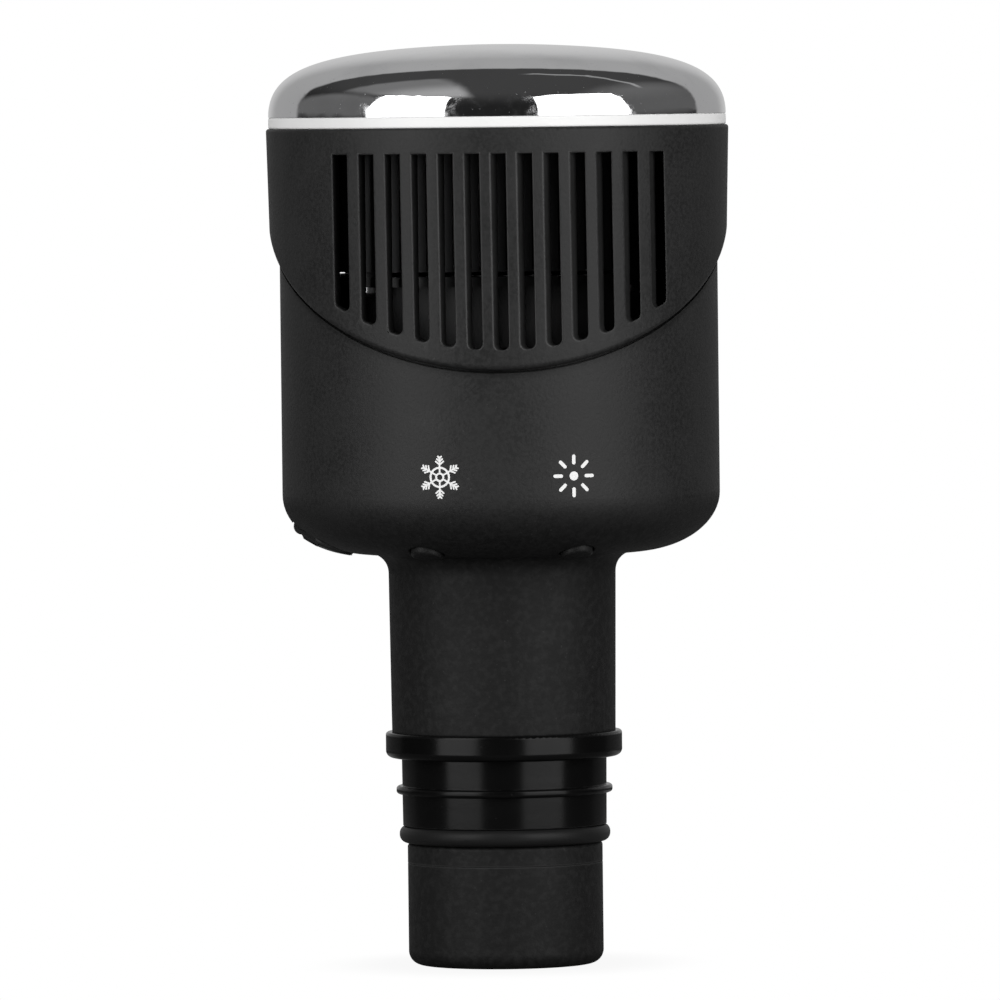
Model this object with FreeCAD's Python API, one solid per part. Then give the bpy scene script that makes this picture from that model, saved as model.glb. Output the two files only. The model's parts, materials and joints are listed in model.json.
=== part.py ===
import FreeCAD, Part
import os
from math import asin, atan2, cos, degrees, radians, sin, sqrt, tan

# Hot-and-cold compress head that plugs into a percussion massager.
# Millimetres, +Z up the axis, front towards -Y, origin at the centre of the plug's end face.

# Heights stacked along the axis, from the end face up
CAP_HEIGHT = 10.4
LIP_HEIGHT = 2.0
GROOVE_HEIGHT = 1.8
NECK_HEIGHT = 6.9
FLANGE_HEIGHT = 2.6
STEM_HEIGHT = 18.15
SHOULDER_HEIGHT = 6.0
WALL_HEIGHT = 12.95
SHIELD_HEIGHT = 15.2
BAND_HEIGHT = 9.0
RING_HEIGHT = 1.15
DOME_HEIGHT = 7.2

# Radii of the outer shapes, and the steps between them
PLUG_RADIUS = 9.9
LIP_STEP = 0.5
SLEEVE_WALL = 1.0
SLEEVE_TAPER = 0.06
BEAD_RISE = 0.6
FLANGE_REACH = 1.6
SEAL_WALL = 1.3
STEM_STEP = 1.95
STEM_TAPER = 0.2
BODY_RADIUS = 22.2
HEAD_STEP = 0.65
HEAD_TAPER = 0.6
RING_INSET = 0.25

# Rounded edges of the outer shapes
PLUG_CORNER = 1.4
LIP_CORNER = 0.4
PARTING_CORNER = 0.15
FLANGE_CORNER = 0.7
FLANGE_EDGE = 0.3
SEAL_CORNER = 0.8
STEM_FILLET = 2.0
SHIELD_EDGE = 0.6
HOUSING_EDGE = 0.3
RING_EDGE = 0.2
CROWN_RADIUS = 124.0
CROWN_REACH = 7.6
DOME_FULLNESS = 1.23

# Walls and fits
CAP_WALL = 1.4
CAP_FLOOR = 1.6
CAP_FIT = 0.05
CAP_SPIGOT_HEIGHT = 5.0
CAP_SPIGOT_WALL = 1.0
TUBE_WALL = 1.65
TUBE_SHELF = 1.3
STEM_WALL = 2.0
BODY_WALL = 1.8
SPIGOT_WALL = 1.0
SPIGOT_RISE = 1.6
SHIELD_GAP = 0.28
SHIELD_REACH = 0.05
HOUSING_FIT = 0.15
RING_FIT = 0.1
RING_WALL = 1.2
RING_SKIRT = 2.0
RING_LIP = 1.75
RING_LAND = 1.6
RING_COLLAR = 0.9
DOME_FIT = 0.25
DOME_WALL = 1.8
SLEEVE_FIT = 0.05
BEAD_LEVEL = 3.6
BEAD_HEIGHT = 0.8
SEAL_FIT = 0.05
OVERRUN = 1.0

# Vent slots, which lean as they go through the wall
SLOT_COUNT = 13
SLOT_PITCH = 2.64
SLOT_WIDTH = 1.42
SLOT_SHIFT = 0.65
SLOT_TOP_MARGIN = 2.6
SLOT_MARGIN = 2.05
SLOT_CORNER = 0.6

# Thermoelectric stack
TEC_CORNER_GAP = 1.53
TEC_PLATE = 0.8
TEC_LEG_HEIGHT = 1.6
TEC_LEG_SIZE = 1.2
TEC_LEG_COUNT = 8
TEC_BORDER = 1.0
PAD_HEIGHT = 0.3
PEDESTAL_GAP = 1.2

# Heat sink
SINK_FIT = 0.15
SINK_BASE = 1.8
FIN_HEIGHT = 12.0
FIN_THICKNESS = 1.0
FIN_SHIFT = 0.2
FIN_GAP = 0.6
POST_RADIUS = 1.5
POST_ANGLES = (45, 135, 225, 315)

# Screws
CLAMP_ANGLES = (0, 90, 180, 270)
CLAMP_RADIUS = 0.95
CLAMP_HEAD_RADIUS = 1.8
CLAMP_HEAD_HEIGHT = 1.3
CLAMP_GRIP = 2.4
FAN_SCREW_RADIUS = 0.7
FAN_SCREW_HEAD_RADIUS = 1.3
FAN_SCREW_HEAD_HEIGHT = 0.9
FAN_SCREW_GRIP = 4.0
BOARD_SCREW_ANGLES = (30, 150, 270)
BOARD_SCREW_RADIUS = 0.85
BOARD_SCREW_HEAD_RADIUS = 1.6
BOARD_SCREW_HEAD_HEIGHT = 1.2
BOARD_SCREW_GRIP = 3.0
BOARD_SCREW_INSET = 3.0
SCREW_FIT = 0.05
SCREW_ROOM = 0.35
DRIVE_WIDTH = 0.5
DRIVE_DEPTH = 0.6

# Fan
FAN_GAP = 0.5
FAN_HEIGHT = 7.2
FAN_EDGE_GAP = 0.5
FAN_FLANGE_WIDTH = 3.3
FAN_FLANGE_HEIGHT = 1.0
FAN_DUCT_WALL = 1.2
FAN_BASE_RADIUS = 7.0
FAN_BASE_HEIGHT = 1.0
FAN_STRUT_WIDTH = 1.6
FAN_STRUT_ANGLES = (30, 120, 210, 300)
FAN_BOSS_WALL = 0.7
BEARING_WALL = 0.75
SHAFT_RADIUS = 0.75
SHAFT_FIT = 0.03
FAN_TIP_GAP = 0.4
HUB_RADIUS = 7.4
HUB_WALL = 0.7
HUB_TOP = 0.8
HUB_FLOOR_GAP = 0.4
HUB_TOP_GAP = 0.3
MAGNET_WALL = 1.0
STATOR_GAP = 0.5
STATOR_HEIGHT = 2.6
STATOR_CORE = 1.1
STATOR_ARM = 1.3
STATOR_ANGLES = (0, 60, 120, 180, 240, 300)
STATOR_SHOE = 0.7
BLADE_COUNT = 9
BLADE_LEAN = 42
BLADE_THICKNESS = 0.6

# Control board and the parts on it
BOARD_LIFT = 2.0
BOARD_HEIGHT = 1.2
BOARD_GAP = 0.8
BOSS_RADIUS = 2.0
CHIP_SIZE = 5.0
CHIP_HEIGHT = 0.9
COIL_SIZE = 5.2
COIL_HEIGHT = 2.6
CAPACITOR_RADIUS = 2.1
CAPACITOR_HEIGHT = 5.0
PLUG_BLOCK_LENGTH = 6.0
PLUG_BLOCK_WIDTH = 3.4
PLUG_BLOCK_HEIGHT = 3.2
COMPONENT_CIRCLE = 9.0

# Buttons and their switches
BUTTON_INSET = 3.45
BUTTON_ANGLE = 26.27
BUTTON_RADIUS = 1.6
BUTTON_RISE = 0.45
BUTTON_FIT = 0.2
BUTTON_FLANGE_RADIUS = 2.2
BUTTON_FLANGE_HEIGHT = 0.7
BUTTON_POST_RADIUS = 1.0
BUTTON_GUIDE_HEIGHT = 2.7
BUTTON_GUIDE_WALL = 1.2
SWITCH_SIZE = 3.4
SWITCH_HEIGHT = 1.8
SWITCH_TRAVEL = 0.5
PLUNGER_RADIUS = 0.7
PLUNGER_RISE = 0.7
PLUNGER_FIT = 0.06

# Charge inlet and its cover
PORT_INSET = 2.7
USB_LENGTH = 8.94
USB_WIDTH = 3.26
USB_WALL = 0.35
USB_FIT = 0.15
USB_SETBACK = 0.4
USB_BLADE_LENGTH = 6.7
USB_BLADE_WIDTH = 0.7
USB_BLADE_SETBACK = 1.2
COVER_LENGTH = 12.0
COVER_INNER_REACH = 2.6
COVER_HINGE_REACH = 2.5
COVER_CORNER = 2.2
COVER_RISE = 0.2
COVER_BULGE = 0.35
COVER_RECESS = 1.1
COVER_BACK_GAP = 0.3
COVER_FIT = 0.16
COVER_PLUG_LENGTH = 6.6
COVER_PLUG_WIDTH = 1.6
COVER_PLUG_REACH = 0.8
KNUCKLE_RADIUS = 0.85
KNUCKLE_LENGTH = 6.4
KNUCKLE_FIT = 0.15
KNUCKLE_RELIEF = 1.4
PIN_RADIUS = 0.3
PIN_LENGTH = 8.0
PIN_DEPTH = 0.8
PIN_FIT = 0.03

# Battery
BATTERY_GAP = 0.45
BATTERY_HEADROOM = 5.5
BATTERY_WRAP = 0.3
BATTERY_PAD = 0.6
BATTERY_TIP_RADIUS = 2.6
BATTERY_TIP_HEIGHT = 0.8
COLLAR_HEIGHT = 6.0
COLLAR_DROP = 3.0
COLLAR_FIT = 0.1

# Wires
LEAD_RADIUS = 0.4
LEAD_BEND = 1.0
LEAD_ROOM = 0.3
LEAD_GAP = 0.1
LEAD_INSET = 0.75
PELTIER_LEAD_ANGLES = (-10, 10)
SENSOR_ANGLE = 70
SENSOR_LEAD_ANGLES = (68.4, 71.6)
SENSOR_LEAD_RADIUS = 0.22
SENSOR_RADIUS = 0.9
SENSOR_HEIGHT = 1.6
SENSOR_LEAD_RUN = 0.45
BATTERY_LEAD_SPACING = 2.4
FAN_LEAD_SPACING = 2.0

Vector = FreeCAD.Vector
ORIGIN = Vector(0, 0, 0)
UP = Vector(0, 0, 1)
FORWARD = Vector(0, 1, 0)

# Levels, worked out from the stack
cap_top = CAP_HEIGHT
lip_top = cap_top + LIP_HEIGHT
groove_top = lip_top + GROOVE_HEIGHT
flange_bottom = groove_top + NECK_HEIGHT
stem_bottom = flange_bottom + FLANGE_HEIGHT
shoulder_bottom = stem_bottom + STEM_HEIGHT
shoulder_top = shoulder_bottom + SHOULDER_HEIGHT
shield_bottom = shoulder_top + WALL_HEIGHT
shield_centre = shield_bottom + SHIELD_HEIGHT
housing_top = shield_centre + BAND_HEIGHT
rim = housing_top + RING_HEIGHT
crown = rim + DOME_HEIGHT
seat = rim - RING_LIP
pedestal = seat + PAD_HEIGHT + TEC_PLATE + TEC_LEG_HEIGHT + TEC_PLATE + PAD_HEIGHT
sink_bottom = seat - SINK_BASE
fan_top = sink_bottom - FIN_HEIGHT - FAN_GAP
fan_bottom = fan_top - FAN_HEIGHT
board_bottom = shoulder_top + BOARD_LIFT
board_top = board_bottom + BOARD_HEIGHT
battery_bottom = CAP_FLOOR + BATTERY_PAD
battery_top = board_bottom - BATTERY_HEADROOM
guide_top = shoulder_bottom + BUTTON_GUIDE_HEIGHT
switch_bottom = board_bottom - SWITCH_HEIGHT

# Radii, worked out from the walls and fits
body_inner = BODY_RADIUS - BODY_WALL
spigot_outer = body_inner + SPIGOT_WALL
housing_inner = spigot_outer + HOUSING_FIT
housing_foot = BODY_RADIUS + HEAD_STEP
housing_head = housing_foot + HEAD_TAPER
ring_outer = housing_head - RING_INSET
skirt_outer = housing_inner - RING_FIT
skirt_inner = skirt_outer - RING_WALL
sink_radius = skirt_inner - SINK_FIT
land_inner = sink_radius - RING_LAND
dome_inner = ring_outer - DOME_WALL
collar_outer = dome_inner - DOME_FIT
collar_inner = collar_outer - RING_WALL
tube_radius = PLUG_RADIUS - LIP_STEP
neck_radius = tube_radius + SLEEVE_WALL
flange_radius = neck_radius + FLANGE_REACH
seal_radius = tube_radius + SEAL_WALL
stem_foot_radius = tube_radius + STEM_STEP
stem_top_radius = stem_foot_radius + STEM_TAPER
shoulder_reach = BODY_RADIUS - stem_top_radius - STEM_FILLET
shoulder_centre = BODY_RADIUS - shoulder_reach
tube_inner = tube_radius - TUBE_WALL
stem_inner = stem_foot_radius - STEM_WALL
cap_inner = PLUG_RADIUS - CAP_WALL
cap_spigot_outer = cap_inner - CAP_FIT
wrap_outer = tube_inner - BATTERY_GAP
battery_radius = wrap_outer - BATTERY_WRAP
fin_radius = body_inner - FIN_GAP
tec_size = sqrt(2) * (land_inner - TEC_CORNER_GAP)
pedestal_radius = land_inner - PEDESTAL_GAP
clamp_circle = (tec_size / 2 + land_inner) / 2
fan_radius = body_inner - FAN_EDGE_GAP
duct_outer = fan_radius - FAN_FLANGE_WIDTH
duct_inner = duct_outer - FAN_DUCT_WALL
post_circle = (duct_outer + fan_radius) / 2
bearing_inner = SHAFT_RADIUS + SHAFT_FIT
bearing_outer = bearing_inner + BEARING_WALL
fan_boss_outer = bearing_outer + FAN_BOSS_WALL
lead_circle = land_inner - LEAD_INSET
sensor_lead_start = lead_circle - LEAD_BEND - SENSOR_LEAD_RUN
sensor_circle = sensor_lead_start - LEAD_GAP - SENSOR_RADIUS
board_radius = body_inner - BOARD_GAP
board_screw_circle = board_radius - BOARD_SCREW_INSET
button_circle = body_inner - BUTTON_INSET
port_x = -(body_inner - PORT_INSET)
hinge_x = port_x - COVER_HINGE_REACH


def housing_radius(level):
    """Outer radius of the tapered vent housing at a level."""
    rise = (level - shield_bottom) / (housing_top - shield_bottom)
    return housing_foot + HEAD_TAPER * rise


def shoulder_level(radius, inset=0):
    """Level of the rounded shoulder at a radius, or of the surface that lies inset inside it."""
    share = (radius - shoulder_centre) / (shoulder_reach - inset)
    return shoulder_top - (SHOULDER_HEIGHT - inset) * sqrt(1 - share ** 2)


def on_circle(radius, degrees, level=0):
    return Vector(radius * cos(radians(degrees)), radius * sin(radians(degrees)), level)


def quarter(start, corner, end, fullness=sqrt(0.5)):
    """Curve from start to end, tangent to the two lines that meet at corner: an ellipse unless fuller."""
    curve = Part.BezierCurve()
    curve.setPoles([start, corner, end])
    curve.setWeight(2, fullness)
    return curve.toShape()


def rounded_corner(before, corner, after, radius):
    """Points of the arc that rounds a corner: its start, middle and end."""
    back = (before - corner).normalize()
    ahead = (after - corner).normalize()
    half = back.getAngle(ahead) / 2
    middle = (back + ahead).normalize()
    run = radius / tan(half)
    return corner + back * run, corner + middle * (radius / sin(half) - radius), corner + ahead * run


def outline(corners):
    """Closed wire in the XZ plane through (x, z) or (x, z, corner radius) points."""
    points = [Vector(c[0], 0, c[1]) for c in corners]
    edges = []
    ends = []
    for i, corner in enumerate(corners):
        if len(corner) == 2:
            ends.append((points[i], points[i]))
            continue
        after = points[(i + 1) % len(points)]
        start, middle, end = rounded_corner(points[i - 1], points[i], after, corner[2])
        edges.append(Part.Arc(start, middle, end).toShape())
        ends.append((start, end))
    for i, (_, leave) in enumerate(ends):
        arrive = ends[(i + 1) % len(ends)][0]
        if leave.distanceToPoint(arrive) > Part.Precision.confusion():
            edges.append(Part.makeLine(leave, arrive))
    return Part.Wire(Part.__sortEdges__(edges))


def turned(wire):
    return Part.Face(wire).revolve(ORIGIN, UP, 360)


def turned_outline(*corners):
    return turned(outline(corners))


def cylinder(radius, bottom, top, centre=ORIGIN):
    return Part.makeCylinder(radius, top - bottom, Vector(centre.x, centre.y, bottom))


def tube(outer, inner, bottom, top):
    return cylinder(outer, bottom, top).cut(cylinder(inner, bottom, top))


def block(length, width, bottom, top, centre=ORIGIN):
    corner = Vector(centre.x - length / 2, centre.y - width / 2, bottom)
    return Part.makeBox(length, width, top - bottom, corner)


def round_block(length, width, corner, bottom, top, centre=ORIGIN):
    """Upright block with rounded vertical edges."""
    solid = block(length, width, bottom, top, centre)
    upright = [e for e in solid.Edges if abs(e.tangentAt(e.FirstParameter).z) > sqrt(0.5)]
    return solid.makeFillet(corner, upright)


def fused(shapes):
    first, *rest = shapes
    return first.fuse(rest).removeSplitter() if rest else first


def turned_about_axis(shape, degrees):
    copy = shape.copy()
    copy.rotate(ORIGIN, UP, degrees)
    return copy


def shoulder_core(grow):
    """Everything inside the body's outer surface, grown outwards or shrunk inwards."""
    low = Vector(shoulder_centre, 0, shoulder_bottom - grow)
    corner = Vector(BODY_RADIUS + grow, 0, shoulder_bottom - grow)
    high = Vector(BODY_RADIUS + grow, 0, shoulder_top)
    top_out = Vector(BODY_RADIUS + grow, 0, shield_centre)
    top_in = Vector(0, 0, shield_centre)
    low_in = Vector(0, 0, shoulder_bottom - grow)
    edges = [
        quarter(low, corner, high),
        Part.makeLine(high, top_out),
        Part.makeLine(top_out, top_in),
        Part.makeLine(top_in, low_in),
        Part.makeLine(low_in, low),
    ]
    return turned(Part.Wire(edges))


def above_shield(shift):
    """Region above the half-elliptical lower edge of the vent housing, moved up by shift."""
    half = housing_radius(shield_centre) + SHIELD_REACH
    flare = half + SHIELD_HEIGHT
    lift = Vector(0, -flare, shift)
    left = Vector(-half, 0, shield_centre) + lift
    right = Vector(half, 0, shield_centre) + lift
    low = Vector(0, 0, shield_bottom) + lift
    high_right = Vector(flare, 0, crown) + lift
    high_left = Vector(-flare, 0, crown) + lift
    edges = [
        quarter(left, Vector(left.x, left.y, low.z), low),
        quarter(low, Vector(right.x, right.y, low.z), right),
        Part.makeLine(right, high_right),
        Part.makeLine(high_right, high_left),
        Part.makeLine(high_left, left),
    ]
    return Part.Face(Part.Wire(edges)).extrude(FORWARD * (2 * flare))


def shield_level(x):
    half = housing_radius(shield_centre) + SHIELD_REACH
    return shield_centre - SHIELD_HEIGHT * sqrt(1 - (x / half) ** 2)


def button_centre(side):
    return on_circle(button_circle, 270 + side * BUTTON_ANGLE)


# Shells

def main_body():
    """Lower shell: plug tube, stem, shoulder and wall in one moulding, with its bosses and openings."""
    low = Vector(shoulder_centre, 0, shoulder_bottom)
    corner = Vector(BODY_RADIUS, 0, shoulder_bottom)
    high = Vector(BODY_RADIUS, 0, shoulder_top)
    stem_foot = Vector(stem_foot_radius, 0, stem_bottom)
    stem_corner = Vector(stem_top_radius, 0, shoulder_bottom)
    fillet_start, fillet_middle, fillet_end = rounded_corner(stem_foot, stem_corner, low, STEM_FILLET)
    lip_before = Vector(PLUG_RADIUS, 0, cap_top)
    lip_corner = Vector(PLUG_RADIUS, 0, lip_top)
    lip_after = Vector(tube_radius, 0, lip_top)
    lip_start, lip_middle, lip_end = rounded_corner(lip_before, lip_corner, lip_after, LIP_CORNER)
    inner_low = Vector(shoulder_centre, 0, shoulder_bottom + BODY_WALL)
    inner_corner = Vector(body_inner, 0, shoulder_bottom + BODY_WALL)
    inner_high = Vector(body_inner, 0, shoulder_top)
    spigot_bottom = cap_top - CAP_SPIGOT_HEIGHT
    shelf = stem_bottom + TUBE_SHELF
    spigot_inner = cap_spigot_outer - CAP_SPIGOT_WALL
    runs = [
        [high, Vector(BODY_RADIUS, 0, shield_centre), Vector(body_inner, 0, shield_centre), inner_high],
        [inner_low, Vector(stem_inner, 0, inner_low.z), Vector(stem_inner, 0, shelf),
         Vector(tube_inner, 0, shelf), Vector(tube_inner, 0, cap_top), Vector(spigot_inner, 0, cap_top),
         Vector(spigot_inner, 0, spigot_bottom), Vector(cap_spigot_outer, 0, spigot_bottom),
         Vector(cap_spigot_outer, 0, cap_top), lip_before, lip_start],
        [lip_end, Vector(tube_radius, 0, lip_top), Vector(tube_radius, 0, stem_bottom), stem_foot,
         fillet_start],
        [fillet_end, low],
    ]
    edges = [
        quarter(low, corner, high),
        quarter(inner_low, inner_corner, inner_high),
        Part.Arc(fillet_start, fillet_middle, fillet_end).toShape(),
        Part.Arc(lip_start, lip_middle, lip_end).toShape(),
    ]
    for run in runs:
        for start, end in zip(run, run[1:]):
            if start.distanceToPoint(end) > Part.Precision.confusion():
                edges.append(Part.makeLine(start, end))
    shell = turned(Part.Wire(Part.__sortEdges__(edges)))
    shell = shell.cut(above_shield(-SHIELD_GAP))
    spigot = tube(spigot_outer, body_inner, shoulder_top, shield_centre).cut(above_shield(SPIGOT_RISE))
    return fused([shell, spigot] + board_bosses() + button_guides()).cut(body_cuts())


def board_bosses():
    inside = shoulder_core(-BODY_WALL / 2)
    bosses = []
    for angle in BOARD_SCREW_ANGLES:
        centre = on_circle(board_screw_circle, angle)
        bosses.append(cylinder(BOSS_RADIUS, shoulder_bottom, board_bottom, centre).common(inside))
    return bosses


def button_guides():
    inside = shoulder_core(-BODY_WALL / 2)
    outer = BUTTON_FLANGE_RADIUS + BUTTON_FIT + BUTTON_GUIDE_WALL
    return [cylinder(outer, shoulder_bottom, guide_top, button_centre(side)).common(inside)
            for side in (-1, 1)]


def body_cuts():
    """Openings of the lower shell: button holes, screw holes, charge inlet and cover recess."""
    cuts = []
    for side in (-1, 1):
        centre = button_centre(side)
        cuts.append(cylinder(BUTTON_RADIUS + BUTTON_FIT, stem_bottom, board_bottom, centre))
        pocket = BUTTON_FLANGE_RADIUS + BUTTON_FIT
        cuts.append(cylinder(pocket, guide_top, board_bottom, centre))
    for angle in BOARD_SCREW_ANGLES:
        centre = on_circle(board_screw_circle, angle)
        hole_bottom = board_bottom - BOARD_SCREW_GRIP - SCREW_ROOM
        cuts.append(cylinder(BOARD_SCREW_RADIUS + SCREW_FIT, hole_bottom, board_bottom, centre))
    port = Vector(port_x, 0, 0)
    width = USB_WIDTH + 2 * USB_FIT
    length = USB_LENGTH + 2 * USB_FIT
    cuts.append(round_block(width, length, width / 2 - USB_FIT, stem_bottom, board_bottom, port))
    cuts.append(cover_outline(COVER_FIT).cut(shoulder_core(-COVER_RECESS)))
    cuts.append(hinge_rod(KNUCKLE_RADIUS + KNUCKLE_FIT, KNUCKLE_LENGTH + 2 * KNUCKLE_FIT))
    cuts.append(hinge_rod(PIN_RADIUS, PIN_LENGTH))
    return fused(cuts)


def vent_housing():
    """Upper shell with the leaning slots, front and back, and the half-elliptical lower edge."""
    foot = shield_bottom - OVERRUN
    shell = turned_outline(
        (housing_inner, foot), (housing_radius(foot), foot),
        (housing_head, housing_top, HOUSING_EDGE), (housing_inner, housing_top))
    shell = shell.common(above_shield(0))
    rim_edges = [e for e in shell.Edges if is_outer_rim(e)]
    shell = shell.makeFillet(SHIELD_EDGE, rim_edges)
    front = slot_cutters()
    back = [turned_about_axis(slot, 180) for slot in front]
    return shell.cut(front + back)


def is_outer_rim(edge):
    """True for the edge where the housing's outer cone meets its half-elliptical lower face."""
    if edge.BoundBox.ZMax > housing_top - BAND_HEIGHT / 2:
        return False
    point = edge.valueAt((edge.FirstParameter + edge.LastParameter) / 2)
    radius = sqrt(point.x ** 2 + point.y ** 2)
    return radius > (housing_inner + housing_radius(point.z)) / 2


def slot_cutters():
    """One leaning prism for each slot, square at its top and rounded where it follows the shield."""
    slot_top = housing_top - SLOT_TOP_MARGIN
    cutters = []
    for i in range(SLOT_COUNT):
        left = (i - (SLOT_COUNT - 1) / 2) * SLOT_PITCH - SLOT_WIDTH / 2
        right = left + SLOT_WIDTH
        left_end = Vector(left, -sqrt(housing_head ** 2 - left ** 2), 0)
        right_end = Vector(right, -sqrt(housing_head ** 2 - right ** 2), 0)
        inside = Vector(left + SLOT_SHIFT, -sqrt(housing_inner ** 2 - (left + SLOT_SHIFT) ** 2), 0)
        lean = inside - left_end
        chord = right_end - left_end
        wire = outline([
            (0, slot_top), (0, shield_level(left) + SLOT_MARGIN, SLOT_CORNER),
            (chord.Length, shield_level(right) + SLOT_MARGIN, SLOT_CORNER), (chord.Length, slot_top)])
        wire.rotate(ORIGIN, UP, degrees(atan2(chord.y, chord.x)))
        wire.translate(left_end - lean)
        cutters.append(Part.Face(wire).extrude(lean * 3))
    return cutters


def insulating_ring():
    """White ring: band between cap and housing, skirt into the housing, collar into the cap."""
    skirt_bottom = housing_top - RING_SKIRT
    collar_top = rim + RING_COLLAR
    return turned_outline(
        (land_inner, seat), (skirt_inner, seat), (skirt_inner, skirt_bottom),
        (skirt_outer, skirt_bottom), (skirt_outer, housing_top),
        (ring_outer, housing_top, RING_EDGE), (ring_outer, rim, RING_EDGE),
        (collar_outer, rim), (collar_outer, collar_top), (collar_inner, collar_top),
        (collar_inner, rim), (land_inner, rim))


def dome_profile(inset):
    """Edges of the cap's outside, or of the surface inset inside it, from the rim to the axis."""
    radius = CROWN_RADIUS - inset
    spread = asin(CROWN_REACH / CROWN_RADIUS)
    centre = Vector(0, 0, crown - CROWN_RADIUS)
    join = centre + Vector(sin(spread), 0, cos(spread)) * radius
    middle = centre + Vector(sin(spread / 2), 0, cos(spread / 2)) * radius
    start = Vector(ring_outer - inset, 0, rim)
    corner = Vector(start.x, 0, join.z - (start.x - join.x) * tan(spread))
    end = Vector(0, 0, crown - inset)
    return start, [quarter(start, corner, join, DOME_FULLNESS), Part.Arc(join, middle, end).toShape()], end


def dome_solid(inset):
    start, edges, end = dome_profile(inset)
    foot = Vector(0, 0, start.z)
    return turned(Part.Wire(edges + [Part.makeLine(end, foot), Part.makeLine(foot, start)]))


def contact_dome():
    """Chromed cap: a shell with a thick disc inside that presses on the thermoelectric stack."""
    disc = cylinder(pedestal_radius, pedestal, crown).common(dome_solid(DOME_WALL / 2))
    cap = fused([dome_solid(0).cut(dome_solid(DOME_WALL)), disc])
    hole_top = pedestal + CLAMP_GRIP + SCREW_ROOM
    holes = [cylinder(CLAMP_RADIUS + SCREW_FIT, pedestal, hole_top, on_circle(clamp_circle, a))
             for a in CLAMP_ANGLES]
    return cap.cut(holes)


def end_cap():
    """Cup that closes the plug, with a spigot bore for the body's tube."""
    return turned_outline(
        (0, 0), (PLUG_RADIUS, 0, PLUG_CORNER), (PLUG_RADIUS, cap_top, PARTING_CORNER),
        (cap_inner, cap_top), (cap_inner, CAP_FLOOR), (0, CAP_FLOOR))


def collar_sleeve():
    """Rubber sleeve with a flange and one bead, drawn over the plug tube and a little thinner at its foot."""
    inner = tube_radius + SLEEVE_FIT
    foot = neck_radius - SLEEVE_TAPER
    bead = groove_top + BEAD_LEVEL
    waist = foot + SLEEVE_TAPER * BEAD_LEVEL / NECK_HEIGHT
    bead_round = BEAD_RISE / 2
    return turned_outline(
        (inner, groove_top), (foot, groove_top), (waist, bead - BEAD_HEIGHT / 2),
        (waist + BEAD_RISE, bead - BEAD_HEIGHT / 2, bead_round),
        (waist + BEAD_RISE, bead + BEAD_HEIGHT / 2, bead_round),
        (waist, bead + BEAD_HEIGHT / 2), (neck_radius, flange_bottom),
        (flange_radius, flange_bottom, FLANGE_CORNER), (flange_radius, stem_bottom, FLANGE_EDGE),
        (inner, stem_bottom))


def seal_ring():
    inner = tube_radius + SEAL_FIT
    bottom = lip_top + SEAL_FIT / 2
    top = groove_top - SEAL_FIT / 2
    return turned_outline(
        (inner, bottom), (seal_radius, bottom, SEAL_CORNER), (seal_radius, top, SEAL_CORNER), (inner, top))


# Thermoelectric stack and heat sink

def square_layer(bottom, height):
    return block(tec_size, tec_size, bottom, bottom + height)


def peltier_legs(bottom):
    span = tec_size - 2 * TEC_BORDER
    pitch = span / TEC_LEG_COUNT
    first = (pitch - span) / 2
    legs = []
    for i in range(TEC_LEG_COUNT):
        for j in range(TEC_LEG_COUNT):
            centre = Vector(first + i * pitch, first + j * pitch, 0)
            legs.append(block(TEC_LEG_SIZE, TEC_LEG_SIZE, bottom, bottom + TEC_LEG_HEIGHT, centre))
    return Part.makeCompound(legs)


def lead_holes(bottom, top):
    """Holes for the wires that pass through the heat sink and the fan's flange."""
    holes = [cylinder(LEAD_RADIUS + LEAD_ROOM, bottom, top, on_circle(lead_circle, a))
             for a in PELTIER_LEAD_ANGLES]
    pair = lead_circle * radians(SENSOR_LEAD_ANGLES[1] - SENSOR_LEAD_ANGLES[0]) / 2
    room = pair + SENSOR_LEAD_RADIUS + LEAD_ROOM
    holes.append(cylinder(room, bottom, top, on_circle(lead_circle, SENSOR_ANGLE)))
    return holes


def heat_sink():
    """Finned block: the fins run front to back, each behind the clear way through a slot."""
    fin_bottom = sink_bottom - FIN_HEIGHT
    count = int(fin_radius / SLOT_PITCH)
    fins = []
    for i in range(-count, count + 1):
        centre = Vector(i * SLOT_PITCH + FIN_SHIFT, 0, 0)
        fins.append(block(FIN_THICKNESS, 2 * fin_radius, fin_bottom, sink_bottom, centre))
    fins = fused(fins).common(cylinder(fin_radius, fin_bottom, sink_bottom))
    posts = [cylinder(POST_RADIUS, fan_top, sink_bottom, on_circle(post_circle, a)) for a in POST_ANGLES]
    sink = fused([cylinder(sink_radius, sink_bottom, seat), fins] + posts)
    cuts = lead_holes(fan_top, seat)
    for angle in CLAMP_ANGLES:
        centre = on_circle(clamp_circle, angle)
        cuts.append(cylinder(CLAMP_RADIUS + SCREW_FIT, sink_bottom, seat, centre))
        cuts.append(cylinder(CLAMP_HEAD_RADIUS + SCREW_ROOM, fin_bottom, sink_bottom, centre))
    for angle in POST_ANGLES:
        hole_top = fan_top + FAN_SCREW_GRIP + SCREW_ROOM
        centre = on_circle(post_circle, angle)
        cuts.append(cylinder(FAN_SCREW_RADIUS + SCREW_FIT, fan_top, hole_top, centre))
    return sink.cut(cuts)


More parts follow.
